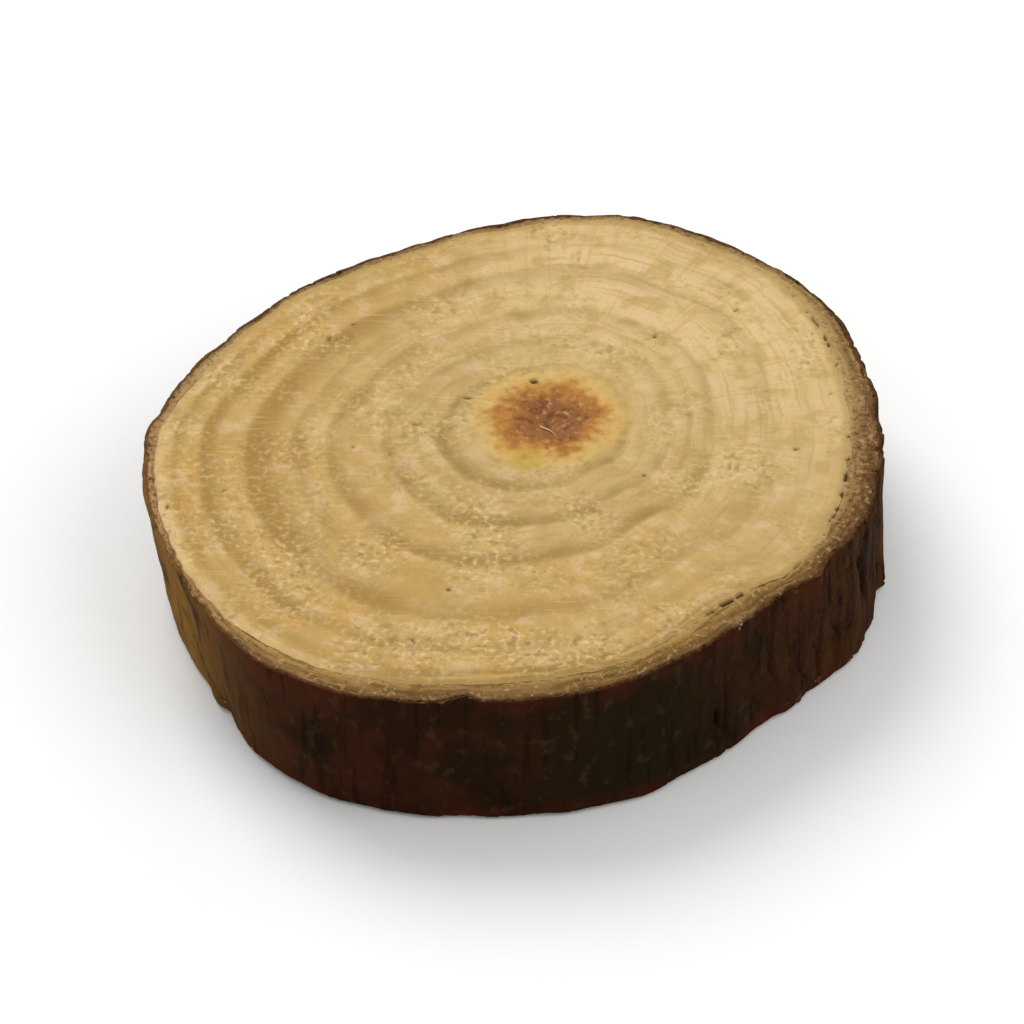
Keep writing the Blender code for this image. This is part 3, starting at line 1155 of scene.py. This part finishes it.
def fibre_mesh():
    draw = random.Random(FIBRE_SEED)
    bm = bmesh.new()
    axis = axis_at(1.0)
    placed = 0
    while placed < FIBRE_COUNT:
        bearing = draw.uniform(0.0, math.tau)
        growth = math.sqrt(draw.uniform(0.0, 0.99))
        spot = (axis + PITH_AT).lerp(wood_edge_point(bearing, 1.0), growth)
        if draw.random() > fuzz_at(spot - axis) ** 2 or stain_at(spot - axis) > CLEAR_OF_STAIN:
            continue
        length = draw.uniform(*FIBRE_LENGTHS)
        sunk = FUZZ_DEPTH + pith_depth(spot - axis - PITH_AT)
        start = Vector((spot.x, spot.y, THICKNESS - sunk - FIBRE_ROOT))
        rise = min(draw.uniform(*FIBRE_RISES) * MM + sunk, sunk + FIBRE_RISE_MOST)
        heading = draw.uniform(0.0, math.tau)
        bend = draw.uniform(-FIBRE_BEND, FIBRE_BEND)
        add_fibre(bm, arc_points(start, heading, length, rise, bend), FIBRE_THICK * 0.5)
        placed += 1
    return bm


fibre_bm = fibre_mesh()
print("fibre faces:", len(fibre_bm.faces))

# %% [markdown]
# The long curl is seen from a step away, so its two ends are given: it starts in the middle of the stain
# and runs about a millimetre towards the front right.

# %% Model the curl on the pith
CURL_FROM = Vector((0.83, 1.37)) * MM
CURL_TO = Vector((1.58, 0.56)) * MM
CURL_BEND = 0.10 * MM
CURL_THICK = 0.06 * MM
CURL_ROOT = 0.06 * MM
CURL_FOLLOWS = 0.75
CURL_STEPS = 9


def curl_mesh():
    bm = bmesh.new()
    axis = axis_at(1.0)
    run = CURL_TO - CURL_FROM
    side = Vector((-run.y, run.x)).normalized()
    points = []
    for step in range(CURL_STEPS + 1):
        share = step / CURL_STEPS
        level = axis + CURL_FROM + run * share + side * CURL_BEND * math.sin(math.pi * share)
        sunk = pith_depth(level - axis - PITH_AT) * CURL_FOLLOWS * (1 - share)
        points.append(Vector((level.x, level.y, THICKNESS - CURL_ROOT - sunk)))
    add_fibre(bm, points, CURL_THICK)
    return bm


curl_bm = curl_mesh()
print("curl faces:", len(curl_bm.faces))

# %% [markdown]
# ## Sawn wood
#
# Dry hardwood end grain, sawn and left unsanded. The eye sees a matt, pale tan surface full of light and
# dark specks, because torn fibres catch the light and open pores hold shadow. Real pores are finer still:
# the specks are drawn as coarse as they have to be to show. Over that lie the soft olive rings, the rays
# that run out from the pith, and the saw's faint straight lines. Noise on Object coordinates makes what
# doesn't follow the growth, and noise on the fan makes what does.

# %% Material of the wood
# size, detail and roughness of each noise
CLOUD = (3.2 * MM, 3.0, 0.5)
GRAIN = (0.27 * MM, 1.2, 0.5)
MOTTLE = (1.1 * MM, 2.0, 0.5)
SPECK = (0.36 * MM, 2.0, 0.55)
FINE_SPECK = (0.13 * MM, 1.0, 0.5)
RAY_WIDTH = 0.24 * MM
RAY_RUN = 5.0
LAYER_WIDTH = 0.26 * MM
LAYER_TURNS = 3.0
SCRATCH_WIDTH = 0.15 * MM
SCRATCH_RUN = 2.6 * MM
WOOD_RELIEF = 0.035 * MM


def sawn_wood():
    """Unsanded hardwood end grain, matt and specked."""
    material, tree, place, carried = new_material("sawn_end_grain", WOOD_VALUES)
    late_wood, stain, torn, pit, gold, pale, olive, mustard, seam = carried
    fan = add_node(tree, "Attribute", {}, output=1, attribute_name="fan")
    noises = []
    for size, detail, rough in (CLOUD, GRAIN, MOTTLE, SPECK, FINE_SPECK):
        look = {"Vector": place, "Scale": 1 / size, "Detail": detail, "Roughness": rough}
        noises.append(add_node(tree, "TexNoise", look))
    cloud, grain, mottle, speck, fine = noises
    ray_turns = WOOD_RADIUS / RAY_WIDTH
    ray = streaks(tree, fan, (ray_turns, ray_turns, RAY_RUN), 1.0)
    layer = streaks(tree, fan, (LAYER_TURNS, LAYER_TURNS, WOOD_RADIUS / LAYER_WIDTH), 2.0)
    scratch = streaks(tree, place, (1 / SCRATCH_RUN, 1 / SCRATCH_WIDTH, 1.0), 1.0)

    deep = add_node(tree, "Math", {0: stain, 1: 1.7}, operation="POWER")
    coats = (
        ("BBA06E", cloud, 0.35, 0.65),
        # gold and pale are partly painted shade at the front left and painted light at the back right
        ("BE9450", cloud, 0.15, 0.75, 1.0, gold),
        ("D9BB86", cloud, 0.10, 0.60, 1.0, pale),
        ("D2B48A", mottle, 0.50, 0.68, 0.58),
        ("B0925A", mottle, 0.50, 0.32, 0.62),
        ("AC8D54", layer, 0.50, 0.72, 0.45),
        ("8C7540", late_wood, 0.0, 1.15),
        ("A27A3C", late_wood, 0.0, 1.0, 0.85, gold),
        ("7C5C28", layer, 0.32, 0.55, 0.88, olive),
        ("B4935A", ray, 0.55, 0.72, 0.35),
        ("D8BB84", scratch, 0.60, 0.78, 0.30),
        ("E0C48E", grain, 0.45, 0.78, 0.68, torn),
        ("8C6E3E", speck, 0.50, 0.28, 0.72, torn),
        ("8E6E3A", fine, 0.42, 0.26, 0.22),
        ("A68750", seam, 0.0, 1.0, 0.60),
        ("CBA860", stain, 0.08, 0.44, 0.85),
        ("B57F3C", stain, 0.32, 0.62),
        ("9A6430", stain, 0.48, 0.78, 0.95),
        ("835334", stain, 0.66, 0.94, 0.80),
        ("B4933A", mustard, 0.1, 0.9, 0.60),
        ("5A3214", speck, 0.52, 0.36, 0.65, deep),
        ("D8B070", grain, 0.52, 0.80, 0.50, stain),
        # painted shade in pits, pores and the open seam
        ("4A3014", pit, 0.0, 1.0, 0.85),
    )
    height = speck
    for finer, share in ((grain, 0.6), (fine, 0.35), (ray, 0.20), (scratch, 0.25)):
        height = add_node(tree, "Math", {0: finer, 1: share, 2: height}, operation="MULTIPLY_ADD")
    bump = add_node(tree, "Bump", {"Height": height, "Strength": 0.8, "Distance": WOOD_RELIEF})
    matt = {"Value": speck, "From Min": 0.2, "From Max": 0.6, "To Min": 0.6, "To Max": 0.9}
    looks = {
        "Base Color": painted(tree, "C1A56C", coats),
        "Normal": bump,
        "Roughness": add_node(tree, "MapRange", matt),
        "Specular IOR Level": 0.12,
    }
    finish_surface(tree, looks)
    return material


wood_material = sawn_wood()
print("nodes in the wood:", len(wood_material.node_tree.nodes))

# %% [markdown]
# ## Inner bark
#
# Bast, dried and sawn across: a tan to reddish-brown, felted layer without shine. Its fibres stand as
# fine dark and light streaks across the band, and it darkens towards the outer bark. It is darkest from
# the front round to the right, and nearly as light as the wood along the back. The mesh already says how
# far across the band a point lies, so one value drives the darkening, and noise only has to fray it.

# %% Material of the inner bark
BAST_FLECK = 0.24 * MM
BAST_STREAK = 0.22 * MM
BAST_STREAK_LAYERS = 2.0
BAST_FELT_RUN = 1.6 * MM
BAST_FELT_LAYERS = 6.0
BAST_BUMP = 0.06 * MM


def inner_bark():
    """Dry bast, sawn across: felted and matt."""
    material, tree, place, carried = new_material("dry_bast", BAST_VALUES)
    across, pit, rust, blush, tan, shade = carried
    fan = add_node(tree, "Attribute", {}, output=1, attribute_name="fan")
    fleck_look = {"Vector": place, "Scale": 1 / BAST_FLECK, "Detail": 3.0, "Roughness": 0.6}
    fleck = add_node(tree, "TexNoise", fleck_look)
    streak_turns = MEAN_RADIUS / BAST_STREAK
    streak = streaks(tree, fan, (streak_turns, streak_turns, BAST_STREAK_LAYERS), 2.0)
    felt_turns = MEAN_RADIUS / BAST_FELT_RUN
    felt = streaks(tree, fan, (felt_turns, felt_turns, BAST_FELT_LAYERS), 3.0, 0.6)

    frayed = add_node(tree, "Math", {0: fleck, 1: 0.7, 2: across}, operation="MULTIPLY_ADD")
    coats = (
        ("A0784A", rust, 0.0, 1.0),
        ("72542C", frayed, 0.55, 1.15, 0.9),
        ("704A2C", frayed, 0.60, 1.20, 0.75, rust),
        ("B8965C", frayed, 0.62, 0.36, 0.8),
        ("AE835C", fleck, 0.25, 0.60, 0.85, blush),
        ("AC8558", felt, 0.52, 0.62, 0.60),
        ("5A421E", felt, 0.50, 0.38, 0.60),
        ("573C1E", frayed, 0.0, 0.90, 0.50, shade),
        ("957A4E", fleck, 0.15, 0.60, 0.75, tan),
        ("BC9C66", frayed, 1.00, 0.60, 0.85, tan),
        ("D9BE94", frayed, 0.46, 0.32, 0.75, rust),
        ("33200F", frayed, 1.16, 1.38, 0.85),
        ("C4A26A", streak, 0.60, 0.74, 0.35),
        ("D0AE7C", fleck, 0.58, 0.70, 0.45),
        ("452B14", fleck, 0.46, 0.33, 0.45),
        ("3A2312", fleck, 0.52, 0.40, 0.50, rust),
        # painted shade in the open seam
        ("2C1A0E", pit, 0.0, 1.0),
    )
    height = add_node(tree, "Math", {0: streak, 1: fleck}, operation="ADD")
    bump = add_node(tree, "Bump", {"Height": height, "Strength": 0.8, "Distance": BAST_BUMP})
    tint = painted(tree, "9C7B3E", coats)
    looks = {"Base Color": tint, "Normal": bump, "Roughness": 0.85, "Specular IOR Level": 0.1}
    finish_surface(tree, looks)
    return material


bast_material = inner_bark()
print("nodes in the inner bark:", len(bast_material.node_tree.nodes))

# %% [markdown]
# ## Outer bark
#
# The dried skin of a young branch: nearly black brown, maroon near the cuts, with hardly any shine. It
# has weathered unevenly, to a lighter brown on the left and greyer on the right and at the back. At the
# front right it is a near-black green, partly its own colour and partly painted shade. Fissures are
# darker still with painted shade, and old dust lies on the ribs in thin upright streaks. Noise is
# stretched along the branch for everything that grew, and left even for the dust.

# %% Material of the outer bark
STREAK_PITCH = 0.42 * MM
STREAK_LENGTH = 5.5 * MM
LICHEN = 0.55 * MM
BARK_CLOUD = 2.6 * MM
DUST = 0.22 * MM
BARK_BUMP = 0.07 * MM


def dried_bark():
    """The dry outer skin of a branch: dark, with hardly any shine, and dusty in its relief."""
    material, tree, place, carried = new_material("dry_outer_bark", BARK_VALUES)
    sunk, rim, brown, grey, green, sawn = carried
    cloud = add_node(tree, "TexNoise", {"Vector": place, "Scale": 1 / BARK_CLOUD, "Detail": 3.0})
    dust_look = {"Vector": place, "Scale": 1 / DUST, "Detail": 3.0, "Roughness": 0.65}
    dust = add_node(tree, "TexNoise", dust_look)
    streak = streaks(tree, place, (1 / STREAK_PITCH, 1 / STREAK_PITCH, 1 / STREAK_LENGTH), 2.0)
    lichen_moved = {"Vector": place, "Location": (5.1, 0.0, 2.3), "Scale": (1.0, 1.0, 0.7)}
    lichen_place = add_node(tree, "Mapping", lichen_moved)
    lichen = add_node(tree, "TexNoise", {"Vector": lichen_place, "Scale": 1 / LICHEN, "Detail": 2.0})
    coats = (
        ("38190C", cloud, 0.40, 0.62),
        # near-black green at the front right: partly the bark's own colour, partly painted shade
        ("191507", cloud, 0.20, 0.55, 0.9, green),
        ("3E160B", cloud, 0.30, 0.62, 0.75, rim),
        ("865F28", cloud, 0.20, 0.50, 0.95, brown),
        ("452C14", streak, 0.40, 0.60, 0.75, grey),
        ("120A04", streak, 0.46, 0.32, 0.50),
        ("42321C", lichen, 0.56, 0.72, 0.35),
        # painted shade in fissures and cracks
        ("0B0502", sunk, 0.48, 1.0, 0.85),
        ("6E5232", dust, 0.58, 0.76, 0.35, grey),
        ("5A3E22", dust, 0.62, 0.80, 0.25),
        ("66492B", dust, 0.30, 0.60, 0.85, sawn),
    )
    height = add_node(tree, "Math", {0: streak, 1: 0.8, 2: dust}, operation="MULTIPLY_ADD")
    bump = add_node(tree, "Bump", {"Height": height, "Strength": 0.7, "Distance": BARK_BUMP})
    tint = painted(tree, "231307", coats)
    looks = {"Base Color": tint, "Normal": bump, "Roughness": 0.75, "Specular IOR Level": 0.025}
    finish_surface(tree, looks)
    return material


bark_material = dried_bark()
print("nodes in the outer bark:", len(bark_material.node_tree.nodes))

# %% [markdown]
# ## Dry fibre
#
# A single torn wood fibre is paler than the surface round it, because light shines through it. It is too
# thin to show a pattern, but no two have one tone, so a coarse noise shifts them between straw and tan.

# %% Material of the fibres
FIBRE_TONE = 0.9 * MM


def dry_fibre():
    """Torn wood fibre: pale straw, with a soft shine."""
    material, tree, place, _ = new_material("torn_wood_fibre")
    tone = add_node(tree, "TexNoise", {"Vector": place, "Scale": 1 / FIBRE_TONE})
    tones = {FACTOR: tone, FIRST: linear("C2A468"), SECOND: linear("DEC48E")}
    tint = add_node(tree, "Mix", tones, MIXED, data_type="RGBA")
    finish_surface(tree, {"Base Color": tint, "Roughness": 0.6})
    return material


fibre_material = dry_fibre()
print("nodes in the fibre:", len(fibre_material.node_tree.nodes))

# %% [markdown]
# ## Into place
#
# The formulas measure from the branch's own axis, and the solid stands with its box over the origin. The
# outer bark reaches furthest, so its box is laid on the solid's box: moved to the same middle and, if a
# fine rib stands out too far, drawn in by that hair's breadth. The same move is then applied to every
# mesh, not to the objects, so each object stays at the origin, unturned and unscaled.

# %% Fit the meshes to the frame
SHARP_WOOD = math.radians(50)
SHARP_BARK = math.radians(60)


def spread_of(bm, axis):
    places = [vert.co[axis] for vert in bm.verts]
    return min(places), max(places)


def fit_to_box(bm):
    """The move that lays a mesh's box on the solid's, seen from above."""
    move = Matrix.Identity(4)
    for axis in (0, 1):
        low, high = spread_of(bm, axis)
        scale = min(1.0, (cad_high[axis] - cad_low[axis]) / (high - low))
        move[axis][axis] = scale
        move[axis][3] = (cad_high[axis] + cad_low[axis]) / 2 - scale * (high + low) / 2
    return move


def finish_piece(bm, name, material, sharp=None):
    bmesh.ops.transform(bm, matrix=into_place, verts=bm.verts[:])
    bmesh.ops.recalc_face_normals(bm, faces=bm.faces[:])
    mesh = bpy.data.meshes.new(name)
    bm.to_mesh(mesh)
    bm.free()
    mesh.materials.append(material)
    mesh.shade_smooth()
    if sharp:
        mesh.set_sharp_from_angle(angle=sharp)
    piece = bpy.data.objects.new(name, mesh)
    bpy.context.scene.collection.objects.link(piece)
    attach(piece, "root")
    return piece


into_place = fit_to_box(bark_bm)
wood = finish_piece(wood_bm, "wood", wood_material, SHARP_WOOD)
inner = finish_piece(bast_bm, "inner_bark", bast_material, SHARP_BARK)
outer = finish_piece(bark_bm, "outer_bark", bark_material, SHARP_BARK)
finish_piece(fibre_bm, "torn_fibres", fibre_material)
finish_piece(curl_bm, "pith_curl", fibre_material)
for piece in (wood, inner, outer):
    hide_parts("wood_slice")
print("drawn in to:", [round(into_place[axis][axis], 4) for axis in (0, 1)])
